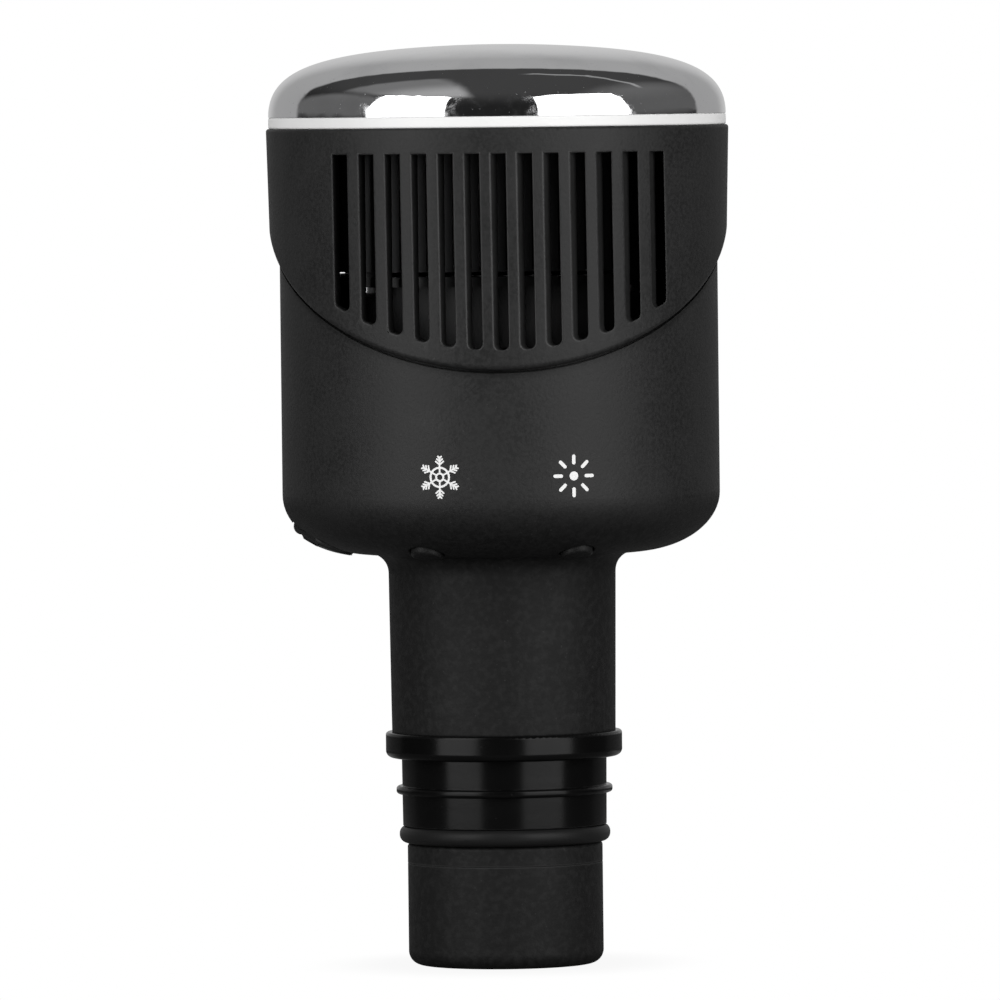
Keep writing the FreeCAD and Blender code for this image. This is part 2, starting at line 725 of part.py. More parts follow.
def screw(radius, head_radius, head_height, seat_level, length, centre, heading):
    """Pan-head screw: its head seats at seat_level and its shank runs along heading, +1 up or -1 down."""
    shank = cylinder(radius, 0, length)
    head = cylinder(head_radius, -head_height, 0)
    edge = [e for e in head.Edges if e.BoundBox.ZMax < -head_height / 2]
    head = head.makeFillet(head_height / 2, edge)
    drive_top = DRIVE_DEPTH - head_height
    drive = fused([block(head_radius, DRIVE_WIDTH, -head_height, drive_top),
                   block(DRIVE_WIDTH, head_radius, -head_height, drive_top)])
    solid = fused([shank, head]).cut(drive)
    if heading < 0:
        solid.rotate(ORIGIN, FORWARD, 180)
    solid.translate(Vector(centre.x, centre.y, seat_level))
    return solid


def clamp_screws():
    length = pedestal + CLAMP_GRIP - sink_bottom
    return Part.makeCompound([
        screw(CLAMP_RADIUS, CLAMP_HEAD_RADIUS, CLAMP_HEAD_HEIGHT, sink_bottom, length,
              on_circle(clamp_circle, a), 1) for a in CLAMP_ANGLES])


def temperature_sensor():
    centre = on_circle(sensor_circle, SENSOR_ANGLE)
    bead = cylinder(SENSOR_RADIUS, pedestal - SENSOR_HEIGHT, pedestal, centre)
    edge = [e for e in bead.Edges if e.BoundBox.ZMax < pedestal - SENSOR_HEIGHT / 2]
    return bead.makeFillet(SENSOR_RADIUS / 2, edge)


def bent_lead(radius, start_radius, level, angle, bottom):
    """Wire that runs outwards from start_radius, bends down on the lead circle and ends at bottom."""
    start = Vector(start_radius, 0, level)
    turn = Vector(lead_circle - LEAD_BEND, 0, level)
    down = Vector(lead_circle, 0, level - LEAD_BEND)
    swing = LEAD_BEND * sqrt(0.5)
    middle = Vector(turn.x + swing, 0, down.z + swing)
    path = Part.Wire([
        Part.makeLine(start, turn), Part.Arc(turn, middle, down).toShape(),
        Part.makeLine(down, Vector(lead_circle, 0, bottom))])
    section = Part.Wire([Part.makeCircle(radius, start, Vector(1, 0, 0))])
    return turned_about_axis(path.makePipeShell([section], True, False), angle)


def peltier_leads():
    level = seat + PAD_HEIGHT + TEC_PLATE / 2
    leads = []
    for angle in PELTIER_LEAD_ANGLES:
        side = tec_size / 2 + LEAD_RADIUS * sin(radians(abs(angle))) + LEAD_GAP
        leads.append(bent_lead(LEAD_RADIUS, side / cos(radians(angle)), level, angle, board_top))
    return Part.makeCompound(leads)


def sensor_leads():
    level = pedestal - SENSOR_HEIGHT / 2
    return Part.makeCompound([
        bent_lead(SENSOR_LEAD_RADIUS, sensor_lead_start, level, a, board_top) for a in SENSOR_LEAD_ANGLES])


# Fan

fan_floor = fan_bottom + FAN_BASE_HEIGHT
hub_bottom = fan_floor + HUB_FLOOR_GAP
hub_top = fan_top - HUB_TOP_GAP
hub_inner = HUB_RADIUS - HUB_WALL
magnet_inner = hub_inner - MAGNET_WALL
bearing_top = hub_top - HUB_TOP - HUB_FLOOR_GAP


def fan_frame():
    """Round duct with a screw flange, four struts and the boss that holds the bearing."""
    duct = tube(duct_outer, duct_inner, fan_bottom, fan_top)
    flange = tube(fan_radius, duct_outer, fan_top - FAN_FLANGE_HEIGHT, fan_top)
    base = cylinder(FAN_BASE_RADIUS, fan_bottom, fan_floor)
    boss = cylinder(fan_boss_outer, fan_bottom, bearing_top)
    struts = []
    for angle in FAN_STRUT_ANGLES:
        middle = Vector(duct_outer / 2, 0, 0)
        strut = block(duct_outer, FAN_STRUT_WIDTH, fan_bottom, fan_floor, middle)
        struts.append(turned_about_axis(strut, angle).common(cylinder(duct_outer, fan_bottom, fan_floor)))
    frame = fused([duct, flange, base, boss] + struts)
    holes = [cylinder(FAN_SCREW_RADIUS + SCREW_FIT, fan_bottom, fan_top, on_circle(post_circle, a))
             for a in POST_ANGLES]
    bore = cylinder(bearing_outer, fan_floor, fan_top)
    return frame.cut(holes + lead_holes(fan_bottom, fan_top) + [bore])


def fan_bearing():
    return tube(bearing_outer, bearing_inner, fan_floor, bearing_top)


def fan_stator():
    """Laminated core: a ring on the boss with wound arms that end in curved shoes."""
    bottom = hub_bottom
    top = bottom + STATOR_HEIGHT
    outer = magnet_inner - STATOR_GAP
    core = tube(fan_boss_outer + STATOR_CORE, fan_boss_outer, bottom, top)
    shoes = tube(outer, outer - STATOR_SHOE, bottom, top)
    shapes = [core]
    for angle in STATOR_ANGLES:
        arm = block(outer, STATOR_ARM, bottom, top, Vector(outer / 2, 0, 0))
        arm = arm.common(tube(outer, fan_boss_outer, bottom, top))
        shoe = block(outer, 2 * STATOR_ARM, bottom, top, Vector(outer / 2, 0, 0)).common(shoes)
        shapes += [turned_about_axis(arm, angle), turned_about_axis(shoe, angle)]
    return fused(shapes)


def fan_screws():
    seat_level = fan_top - FAN_FLANGE_HEIGHT
    length = FAN_FLANGE_HEIGHT + FAN_SCREW_GRIP
    return Part.makeCompound([
        screw(FAN_SCREW_RADIUS, FAN_SCREW_HEAD_RADIUS, FAN_SCREW_HEAD_HEIGHT, seat_level, length,
              on_circle(post_circle, a), 1) for a in POST_ANGLES])


def fan_impeller():
    """Cupped hub with leaning blades."""
    cup = cylinder(HUB_RADIUS, hub_bottom, hub_top).cut(cylinder(hub_inner, hub_bottom, hub_top - HUB_TOP))
    tip = duct_inner - FAN_TIP_GAP
    span = tip - hub_inner
    height = hub_top - hub_bottom
    sweep = tube(tip, (hub_inner + HUB_RADIUS) / 2, hub_bottom, hub_top)
    blade = Part.makeBox(span, BLADE_THICKNESS, 2 * height, Vector(hub_inner, -BLADE_THICKNESS / 2, -height))
    blade.rotate(ORIGIN, Vector(1, 0, 0), BLADE_LEAN)
    blade.translate(Vector(0, 0, (hub_bottom + hub_top) / 2))
    blade = blade.common(sweep)
    blades = [turned_about_axis(blade, 360 * i / BLADE_COUNT) for i in range(BLADE_COUNT)]
    bore = cylinder(SHAFT_RADIUS, hub_bottom, hub_top)
    return fused([cup] + blades).cut(bore)


def fan_magnet():
    return tube(hub_inner, magnet_inner, hub_bottom, hub_top - HUB_TOP)


def fan_shaft():
    return cylinder(SHAFT_RADIUS, fan_floor + SHAFT_FIT, hub_top)


# Control board

def control_board():
    board = cylinder(board_radius, board_bottom, board_top)
    hole = BOARD_SCREW_RADIUS + SCREW_FIT
    holes = [cylinder(hole, board_bottom, board_top, on_circle(board_screw_circle, a))
             for a in BOARD_SCREW_ANGLES]
    return board.cut(holes)


def board_components():
    """Controller, two coils, two capacitors and a wire connector on top of the board."""
    chip = block(CHIP_SIZE, CHIP_SIZE, board_top, board_top + CHIP_HEIGHT, on_circle(COMPONENT_CIRCLE, 270))
    coils = [round_block(COIL_SIZE, COIL_SIZE, COIL_SIZE / 4, board_top, board_top + COIL_HEIGHT,
                         on_circle(COMPONENT_CIRCLE, a)) for a in (200, 340)]
    can_top = board_top + CAPACITOR_HEIGHT
    cans = [cylinder(CAPACITOR_RADIUS, board_top, can_top, on_circle(COMPONENT_CIRCLE, a))
            for a in (120, 160)]
    connector = block(PLUG_BLOCK_LENGTH, PLUG_BLOCK_WIDTH, board_top, board_top + PLUG_BLOCK_HEIGHT,
                      on_circle(COMPONENT_CIRCLE, 75))
    return Part.makeCompound([chip, connector] + coils + cans)


def board_screws():
    length = BOARD_HEIGHT + BOARD_SCREW_GRIP
    return Part.makeCompound([
        screw(BOARD_SCREW_RADIUS, BOARD_SCREW_HEAD_RADIUS, BOARD_SCREW_HEAD_HEIGHT, board_top, length,
              on_circle(board_screw_circle, a), -1) for a in BOARD_SCREW_ANGLES])


def switch_bodies():
    switches = []
    for side in (-1, 1):
        centre = button_centre(side)
        body = block(SWITCH_SIZE, SWITCH_SIZE, switch_bottom, board_bottom, Vector(button_circle, 0, 0))
        body = turned_about_axis(body, 270 + side * BUTTON_ANGLE)
        well = switch_bottom + PLUNGER_RISE + SWITCH_TRAVEL
        switches.append(body.cut(cylinder(PLUNGER_RADIUS + PLUNGER_FIT, switch_bottom, well, centre)))
    return Part.makeCompound(switches)


def switch_plunger(side):
    top = switch_bottom + SWITCH_TRAVEL
    return cylinder(PLUNGER_RADIUS, switch_bottom - PLUNGER_RISE, top, button_centre(side))


def push_button(side):
    """Button whose outer end follows the shoulder, with a flange inside and a post to its switch."""
    centre = on_circle(button_circle, 270)
    crown_end = cylinder(BUTTON_RADIUS, stem_bottom, guide_top, centre).common(shoulder_core(BUTTON_RISE))
    edge = [e for e in crown_end.Edges if e.BoundBox.ZMax < shoulder_level(button_circle + BUTTON_RADIUS)]
    crown_end = crown_end.makeFillet(BUTTON_RISE / 2, edge)
    flange = cylinder(BUTTON_FLANGE_RADIUS, guide_top, guide_top + BUTTON_FLANGE_HEIGHT, centre)
    post = cylinder(BUTTON_POST_RADIUS, guide_top, switch_bottom - PLUNGER_RISE, centre)
    return turned_about_axis(fused([crown_end, flange, post]), side * BUTTON_ANGLE)


# Charge inlet

usb_bottom = shoulder_level(USB_WIDTH / 2 - port_x, COVER_RECESS) + USB_SETBACK
hinge_z = shoulder_level(-hinge_x) + PIN_DEPTH


def usb_socket():
    port = Vector(port_x, 0, 0)
    shell = round_block(USB_WIDTH, USB_LENGTH, USB_WIDTH / 2 - USB_FIT, usb_bottom, board_bottom, port)
    width = USB_WIDTH - 2 * USB_WALL
    length = USB_LENGTH - 2 * USB_WALL
    hollow = round_block(width, length, width / 2 - USB_FIT, usb_bottom, board_bottom - USB_WALL, port)
    return shell.cut(hollow)


def usb_tongue():
    bottom = usb_bottom + USB_BLADE_SETBACK
    return block(USB_BLADE_WIDTH, USB_BLADE_LENGTH, bottom, board_bottom - USB_WALL, Vector(port_x, 0, 0))


def cover_outline(grow):
    """Upright prism of the cover's outline, grown all round."""
    width = COVER_INNER_REACH + COVER_HINGE_REACH + 2 * grow
    centre = Vector(port_x + (COVER_INNER_REACH - COVER_HINGE_REACH) / 2, 0, 0)
    return round_block(width, COVER_LENGTH + 2 * grow, COVER_CORNER, stem_bottom, shoulder_top, centre)


def hinge_rod(radius, length):
    return Part.makeCylinder(radius, length, Vector(hinge_x, -length / 2, hinge_z), FORWARD)


def port_cover():
    """Curved flap that bulges outwards from its recess, with a knuckle on the pin and a plug behind it."""
    layer = shoulder_core(COVER_RISE)
    layer.translate(Vector(-COVER_BULGE, 0, 0))
    layer = layer.cut(shoulder_core(COVER_BACK_GAP - COVER_RECESS))
    hinge = Vector(hinge_x, 0, 0)
    relief = block(2 * KNUCKLE_RELIEF, COVER_LENGTH, stem_bottom, shoulder_top, hinge)
    relief = relief.cut(block(2 * KNUCKLE_RELIEF, KNUCKLE_LENGTH, stem_bottom, shoulder_top, hinge))
    plate = cover_outline(0).common(layer).cut(relief)
    plug_top = usb_bottom + COVER_PLUG_REACH
    plug = block(COVER_PLUG_WIDTH, COVER_PLUG_LENGTH, shoulder_bottom, plug_top, Vector(port_x, 0, 0))
    plug = plug.common(shoulder_core(-COVER_RECESS / 2))
    knuckle = hinge_rod(KNUCKLE_RADIUS, KNUCKLE_LENGTH)
    return fused([plate, plug, knuckle]).cut(hinge_rod(PIN_RADIUS + PIN_FIT, COVER_LENGTH))


def port_cover_pin():
    return hinge_rod(PIN_RADIUS, PIN_LENGTH)


# Battery

def battery_cell():
    can = cylinder(battery_radius, battery_bottom, battery_top - BATTERY_TIP_HEIGHT)
    ends = [e for e in can.Edges if len(e.Vertexes) == 1]
    can = can.makeFillet(BATTERY_WRAP, ends)
    tip = cylinder(BATTERY_TIP_RADIUS, battery_top - BATTERY_TIP_HEIGHT, battery_top)
    return fused([can, tip])


def battery_wrap():
    top = battery_top - BATTERY_TIP_HEIGHT - BATTERY_WRAP
    return tube(wrap_outer, battery_radius, battery_bottom + BATTERY_WRAP, top)


def battery_pad():
    return cylinder(battery_radius, CAP_FLOOR, battery_bottom)


def battery_collar():
    top = shoulder_bottom - COLLAR_DROP
    return tube(stem_inner - COLLAR_FIT, wrap_outer + COLLAR_FIT, top - COLLAR_HEIGHT, top)


def wire_pair(spacing, bottom, top):
    return Part.makeCompound([
        cylinder(LEAD_RADIUS, bottom, top, Vector(side * spacing / 2, 0, 0)) for side in (-1, 1)])


pad_bottom = seat
hot_bottom = pad_bottom + PAD_HEIGHT
legs_bottom = hot_bottom + TEC_PLATE
cold_bottom = legs_bottom + TEC_LEG_HEIGHT
pad_top = cold_bottom + TEC_PLATE

pieces = {
    "main_body": main_body(),
    "vent_housing": vent_housing(),
    "insulating_ring": insulating_ring(),
    "contact_dome": contact_dome(),
    "end_cap": end_cap(),
    "collar_sleeve": collar_sleeve(),
    "seal_ring": seal_ring(),
    "thermal_pad_bottom": square_layer(pad_bottom, PAD_HEIGHT),
    "peltier_hot_plate": square_layer(hot_bottom, TEC_PLATE),
    "peltier_legs": peltier_legs(legs_bottom),
    "peltier_cold_plate": square_layer(cold_bottom, TEC_PLATE),
    "thermal_pad_top": square_layer(pad_top, PAD_HEIGHT),
    "peltier_leads": peltier_leads(),
    "temperature_sensor": temperature_sensor(),
    "sensor_leads": sensor_leads(),
    "heat_sink": heat_sink(),
    "clamp_screws": clamp_screws(),
    "fan_frame": fan_frame(),
    "fan_bearing": fan_bearing(),
    "fan_stator": fan_stator(),
    "fan_screws": fan_screws(),
    "fan_leads": wire_pair(FAN_LEAD_SPACING, board_top, fan_bottom),
    "fan_impeller": fan_impeller(),
    "fan_magnet": fan_magnet(),
    "fan_shaft": fan_shaft(),
    "control_board": control_board(),
    "board_components": board_components(),
    "board_screws": board_screws(),
    "switch_bodies": switch_bodies(),
    "cold_button": push_button(-1),
    "cold_switch_plunger": switch_plunger(-1),
    "heat_button": push_button(1),
    "heat_switch_plunger": switch_plunger(1),
    "usb_socket": usb_socket(),
    "usb_tongue": usb_tongue(),
    "port_cover": port_cover(),
    "port_cover_pin": port_cover_pin(),
    "battery_cell": battery_cell(),
    "battery_wrap": battery_wrap(),
    "battery_pad": battery_pad(),
    "battery_collar": battery_collar(),
    "battery_leads": wire_pair(BATTERY_LEAD_SPACING, battery_top, board_bottom),
}

os.makedirs("parts", exist_ok=True)
for name, shape in pieces.items():
    shape.exportStep(f"parts/{name}.step")
    print(name, len(shape.Solids), round(shape.Volume, 2), shape.isValid())
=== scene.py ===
# %% [markdown]
# # A hot-and-cold head for a massager, dressed for its portrait
# The solids come from the CAD model and already have their sizes and joints.
# This lesson gives each piece its finish, rounds the edges that catch the light, prints the two symbols,
# and sets up a small studio with a camera.

# %% Load the frame
import json
from math import cos, hypot, pi, radians, sin

import bmesh
import bpy
from mathutils import Matrix, Vector
from mathutils.geometry import delaunay_2d_cdt


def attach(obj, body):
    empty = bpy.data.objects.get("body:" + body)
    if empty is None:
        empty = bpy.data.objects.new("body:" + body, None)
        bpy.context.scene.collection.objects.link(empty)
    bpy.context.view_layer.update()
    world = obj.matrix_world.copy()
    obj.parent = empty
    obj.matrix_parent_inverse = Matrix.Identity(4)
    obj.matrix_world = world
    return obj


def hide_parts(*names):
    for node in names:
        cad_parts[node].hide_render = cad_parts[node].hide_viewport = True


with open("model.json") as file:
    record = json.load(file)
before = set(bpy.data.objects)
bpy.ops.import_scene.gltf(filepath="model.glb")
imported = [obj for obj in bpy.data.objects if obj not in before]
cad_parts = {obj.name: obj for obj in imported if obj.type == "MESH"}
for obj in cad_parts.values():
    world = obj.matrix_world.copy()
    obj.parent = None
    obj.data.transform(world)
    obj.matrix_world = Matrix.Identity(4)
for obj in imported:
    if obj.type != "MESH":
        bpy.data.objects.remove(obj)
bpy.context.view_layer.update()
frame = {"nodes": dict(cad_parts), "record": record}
MM = 0.001

# %% [markdown]
# ## Shader sums
# A finish is a small network of nodes, and long networks are hard to read as node calls.
# One class wraps an output socket, so that `1 - mask` or `speck * 0.3` adds the Math nodes by itself.
# Its `node` method makes every other kind of node: first the settings, then the sockets.

# %% A socket that can be added and multiplied
class Wire:
    """One output socket of a node tree."""

    def __init__(self, tree, socket=None):
        self.tree = tree
        self.socket = socket

    def node(self, kind, settings=None, sockets=None, out=0):
        """Adds a node, sets its settings and then its sockets, and gives one of its outputs."""
        made = self.tree.nodes.new(kind)
        for name, value in (settings or {}).items():
            if name == "stops":
                ramp = made.color_ramp.elements
                while len(ramp) < len(value):
                    ramp.new(1.0)
                for stop, (place, colour) in zip(ramp, value):
                    stop.position = place
                    stop.color = colour
            else:
                setattr(made, name, value)
        for name, value in (sockets or {}).items():
            if isinstance(value, Wire):
                self.tree.links.new(value.socket, made.inputs[name])
            else:
                made.inputs[name].default_value = value
        return Wire(self.tree, made.outputs[out])

    def maths(self, operation, first, second=0.0):
        return self.node("ShaderNodeMath", {"operation": operation}, {0: first, 1: second})

    def vector(self, operation, other, out="Vector"):
        return self.node("ShaderNodeVectorMath", {"operation": operation}, {0: self, 1: other}, out)

    def step(self, low, high):
        """Goes softly from 0 to 1 while this value goes from low to high."""
        return self.node(
            "ShaderNodeMapRange", {"interpolation_type": "SMOOTHSTEP"},
            {"Value": self, "From Min": low, "From Max": high})

    def fall(self, low, high):
        """Goes softly from 1 to 0 while this value goes from low to high."""
        return 1 - self.step(low, high)

    def at_least(self, other):
        return self.maths("MAXIMUM", self, other)

    def __add__(self, other):
        return self.maths("ADD", self, other)

    def __sub__(self, other):
        return self.maths("SUBTRACT", self, other)

    def __rsub__(self, other):
        return self.maths("SUBTRACT", other, self)

    def __mul__(self, other):
        return self.maths("MULTIPLY", self, other)

    def __truediv__(self, other):
        return self.maths("DIVIDE", self, other)

    def __rtruediv__(self, other):
        return self.maths("DIVIDE", other, self)

    def __pow__(self, other):
        return self.maths("POWER", self, other)

    def __abs__(self):
        return self.maths("ABSOLUTE", self)

    __radd__ = __add__
    __rmul__ = __mul__


print("shader sums ready")

# %% [markdown]
# ## What the finishes share
# Every finish reads its place in metres from the object's own coordinates, so a grain of 0.2 mm
# stays 0.2 mm on every piece. The helpers below are the few patterns that come back: cloudy noise,
# round cells, a blend of two colours, relief from a height, and edges shaded as if they were round.

# %% Helpers for finishes
finishes = {}


class Finish:
    """A material with its shader, and the patterns that its surface is made from."""

    def __init__(self, name, **constants):
        self.material = bpy.data.materials.new(name)
        self.material.use_nodes = True
        tree = self.material.node_tree
        self.shader = tree.nodes["Principled BSDF"]
        self.start = Wire(tree)
        self.place = self.start.node("ShaderNodeTexCoord", out="Object")
        self.set(**constants)
        finishes[name] = self.material

    def set(self, **values):
        """Sets shader sockets: a wire is linked, a number or colour is written on the socket."""
        for name, value in values.items():
            socket = self.shader.inputs[name.replace("_", " ")]
            if isinstance(value, Wire):
                self.start.tree.links.new(value.socket, socket)
            else:
                socket.default_value = value

    def cloud(self, size, detail=2.0, place=None):
        """Noise from 0 to 1 whose blotches are about size metres across."""
        return self.start.node(
            "ShaderNodeTexNoise", None,
            {"Vector": place or self.place, "Scale": 1 / size, "Detail": detail, "Roughness": 0.55})

    def lines(self, along, detail=2.0):
        """Noise drawn out into lines; along gives how many blotches fit in a metre of X, Y and Z."""
        return self.cloud(1.0, detail, self.place.vector("MULTIPLY", along))

    def cells(self, size, randomness=1.0, **settings):
        """Distance to a cell's centre, where centres are about size metres apart."""
        return self.start.node(
            "ShaderNodeTexVoronoi", settings,
            {"Vector": self.place, "Scale": 1 / size, "Randomness": randomness}, out="Distance")

    def blend(self, factor, first, second):
        """Colour that goes from first to second with the factor."""
        return self.start.node(
            "ShaderNodeMix", {"data_type": "RGBA"}, {0: factor, 6: first, 7: second}, out=2)

    def relief(self, height, depth, strength=1.0, normal=None):
        """Normal of a surface with that height on it; normal is the one it starts from."""
        sockets = {"Height": height, "Distance": depth, "Strength": strength}
        if normal:
            sockets["Normal"] = normal
        return self.start.node("ShaderNodeBump", None, sockets)

    def axis(self, name):
        return self.start.node("ShaderNodeSeparateXYZ", None, {0: self.place}, out=name)

    def softened(self, radius):
        """The normal as if all edges were rounded, and a mask that is 1 on those edges."""
        rounded = self.start.node("ShaderNodeBevel", {"samples": 4}, {"Radius": radius})
        flat = self.start.node("ShaderNodeNewGeometry", out="Normal")
        facing = rounded.vector("DOT_PRODUCT", flat, "Value")
        return rounded, (1 - facing).step(0.01, 0.16)


def grey(value, warm=0.0):
    return (value + warm, value, value - warm, 1.0)


print("finish helpers ready")

# %% [markdown]
# ## Black mouldings
# The shell is black plastic from a spark-eroded mould: a fine even grain, slightly cloudy gloss,
# and edges painted a little paler, partly as rubbing and partly as painted highlight. Below the shoulder it
# is duller, and a painted shadow lies under the lower edge of the vent housing, which is half an ellipse,
# with a painted highlight on that edge at the sides and another on the end cap's seam. A photographed
# texture would do the same on one model, but noise at a real scale fits every piece and needs no
# unwrapping.

# %% Black shell and buttons
SHOULDER = (43 * MM, 49.5 * MM)
SHIELD_ENDS = 76 * MM
SHIELD_DROP = 15.2 * MM
SHIELD_HALF_WIDTH = 23.3 * MM
CAP_SEAM = 10.4 * MM


def black_moulding(name, base, rough, grain, gloss, dull=0.0):
    """Black plastic; dull makes it darker and rougher below the shoulder."""
    finish = Finish(name, Specular_IOR_Level=gloss)
    height = finish.axis("Z")
    low = height.fall(*SHOULDER) * dull
    fine = finish.cloud(grain).step(0.28, 0.72)
    clouds = finish.cloud(6 * MM, 3.0)
    haze = clouds.step(0.35, 0.75)
    bloom = finish.cloud(0.7 * MM, 3.0).step(0.40, 0.70) * low
    dust = finish.cloud(0.32 * MM, 1.0).step(0.75, 0.79)
    rounded, edge = finish.softened(0.22 * MM)
    # Paler edges: partly rubbing, partly painted highlight.
    edge_rub_and_highlight = edge * finish.cloud(1.6 * MM).step(0.35, 0.7)
    # Rounded rib edges painted paler: partly wear, partly painted highlight.
    worn_and_highlit = finish.start.node("ShaderNodeAttribute", {"attribute_name": "wear"}, out="Fac")
    colour = finish.blend(fine, grey(base * 0.68), grey(base * 1.32))
    colour = finish.blend(haze * 0.5, colour, grey(base * 1.5))
    colour = finish.blend(low, colour, grey(0.0))
    colour = finish.blend(bloom * 0.75, colour, grey(base * 1.05))
    if dull:
        across = finish.axis("X") / SHIELD_HALF_WIDTH
        arc = (1 - across * across).at_least(0.0) ** 0.5
        under = (SHIELD_ENDS - height) - arc * SHIELD_DROP
        # Painted shadow on the body under the vent housing's lower edge.
        shade = under.step(-0.06 * MM, 0.0) * under.fall(0.0, 1.2 * MM)
        # Painted highlight on the vent housing's lower edge, at the sides only.
        painted_lip_highlight = under.step(-0.35 * MM, -0.12 * MM) * under.fall(-0.05 * MM, 0.0)
        to_side = abs(across).step(0.70, 0.88)
        # Painted highlight along the end cap's parting line.
        painted_seam_highlight = abs(height - CAP_SEAM).fall(0.06 * MM, 0.16 * MM)
        colour = finish.blend(shade * 0.75, colour, grey(0.0))
        colour = finish.blend(painted_lip_highlight * to_side * 0.5, colour, grey(base * 4.0))
        colour = finish.blend(painted_seam_highlight * 0.7, colour, grey(base * 2.2))
    colour = finish.blend(edge_rub_and_highlight * 0.55, colour, grey(base * 2.4))
    colour = finish.blend(worn_and_highlit * (0.35 + haze * 0.4), colour, grey(base * 3.0))
    colour = finish.blend(dust * 0.35, colour, grey(base * 4.0))
    finish.set(
        Base_Color=colour, Normal=finish.relief(fine, 0.03 * MM, 0.35, rounded),
        Roughness=rough + low * 0.15 + (clouds - 0.5) * 0.2 + (fine - 0.5) * 0.08 - worn_and_highlit * 0.2)


black_moulding("black_shell", base=0.0146, rough=0.52, grain=0.36 * MM, gloss=0.25, dull=0.74)
black_moulding("button_plastic", base=0.012, rough=0.46, grain=0.3 * MM, gloss=0.2, dull=0.3)
black_moulding("switch_plastic", base=0.040, rough=0.42, grain=0.2 * MM, gloss=0.4)
print("black mouldings:", list(finishes))

# %% [markdown]
# ## Chrome, white plastic and rubber
# The cap is polished and chromed, so nearly all of its look is what it mirrors. What tells chrome from
# a perfect mirror is faint: finger smears, hair scratches and a slight wave in the plating.
# The ring is satin white plastic. The sleeve is glossy moulded rubber that holds some dust, and the seal
# below it is rubbed dull by the socket.

# %% Chrome
CAP_RIM = (87.5 * MM, 89.5 * MM)
chrome = Finish("chrome_cap", Metallic=1.0)
smear = chrome.cloud(6 * MM, 4.0).step(0.45, 0.75)
hair = chrome.lines((9000, 500, 500)).step(0.66, 0.72)
near_rim = chrome.axis("Z").fall(*CAP_RIM)
wiped = chrome.cloud(1.1 * MM, 4.0).step(0.42, 0.68) * near_rim
pit = chrome.cloud(0.26 * MM, 1.0).step(0.72, 0.77)
wave = chrome.cloud(7 * MM, 1.0)
chrome.set(
    Base_Color=chrome.blend(smear * 0.5 + pit, (0.80, 0.80, 0.81, 1.0), (0.62, 0.62, 0.63, 1.0)),
    Roughness=0.03 + smear * 0.04 + hair * 0.05 + wiped * 0.10 + pit * 0.25,
    Normal=chrome.relief(wave, 0.05 * MM, 0.25))
print("chrome nodes:", len(chrome.start.tree.nodes))

# %% White plastic
white = Finish("white_plastic", Specular_IOR_Level=0.4)
mottle = white.cloud(3 * MM, 3.0)
skin = white.cloud(0.3 * MM)
speck = white.cloud(0.4 * MM, 1.0).step(0.77, 0.80)
white_tone = white.blend(mottle, (0.86, 0.86, 0.855, 1.0), (0.90, 0.90, 0.895, 1.0))
white.set(
    Base_Color=white.blend(speck * 0.25, white_tone, grey(0.55, 0.02)),
    Roughness=0.34 + (mottle - 0.5) * 0.12,
    Normal=white.relief(skin, 0.02 * MM, 0.2))
print("white plastic nodes:", len(white.start.tree.nodes))

# %% Rubbers
SEAL_TOP = (14.2 * MM, 14.3 * MM)


def rubber(name, base, rough, gloss, dusty, matte=0.0):
    """Moulded rubber; matte makes it paler and rougher on the seal, which rubs in the socket."""
    finish = Finish(name, Specular_IOR_Level=gloss)
    seal = finish.axis("Z").fall(*SEAL_TOP) * matte
    film = finish.cloud(5 * MM, 4.0)
    fine = finish.cloud(0.35 * MM)
    flow = finish.lines((700, 700, 2600))
    lint = finish.cloud(0.36 * MM, 1.5).step(0.75, 0.79)
    rounded, edge = finish.softened(0.12 * MM)
    edge = edge * finish.cloud(0.9 * MM, 3.0).step(0.45, 0.62)
    colour = finish.blend(film, grey(base * 0.8), grey(base * 1.2))
    colour = finish.blend(seal, colour, grey(base * 4))
    colour = finish.blend(edge * dusty, colour, grey(0.05))
    finish.set(
        Base_Color=finish.blend(lint * dusty, colour, grey(base * 5)),
        Roughness=rough + seal * 0.24 + (film - 0.5) * 0.10 + lint * 0.2,
        Normal=finish.relief(fine * 0.6 + flow * 0.4, 0.02 * MM, 0.18, rounded))


rubber("gloss_rubber", base=0.003, rough=0.20, gloss=0.15, dusty=0.5, matte=1.0)
rubber("soft_rubber", base=0.014, rough=0.44, gloss=0.35, dusty=0.4)
print("rubbers:", [name for name in finishes if "rubber" in name])

# %% [markdown]
# ## Finishes inside
# Through the slots the fins and a little of the fan can be seen, and the part may be opened up.
# So the inner pieces get their finishes as well: fins with extrusion lines, made near-black as painted
# shade for the inside of the slots, ceramic, alloy, varnished steel sheets, sintered bronze, ferrite,
# shrink wrap, foam and wire.
# One recipe for each way of making serves several materials, with other colours and sizes.

# %% Metals
def toned(base, factor, lift=0.0):
    """A darker or lighter colour, with the fourth number that a colour socket wants."""
    return tuple(min(c * factor + lift, 1.0) for c in base) + (1.0,)


def drawn_metal(name, base, rough, along, metallic=1.0):
    """Metal with fine lines in one direction, as from a die or a brush."""
    finish = Finish(name, Metallic=metallic)
    lines = finish.lines(along, 3.0)
    patch = finish.cloud(4 * MM, 3.0)
    finish.set(
        Base_Color=finish.blend(lines * 0.6 + patch * 0.4, toned(base, 0.78), toned(base, 1.15)),
        Roughness=rough + (lines - 0.5) * 0.2 + (patch - 0.5) * 0.1,
        Normal=finish.relief(lines, 0.02 * MM, 0.3))


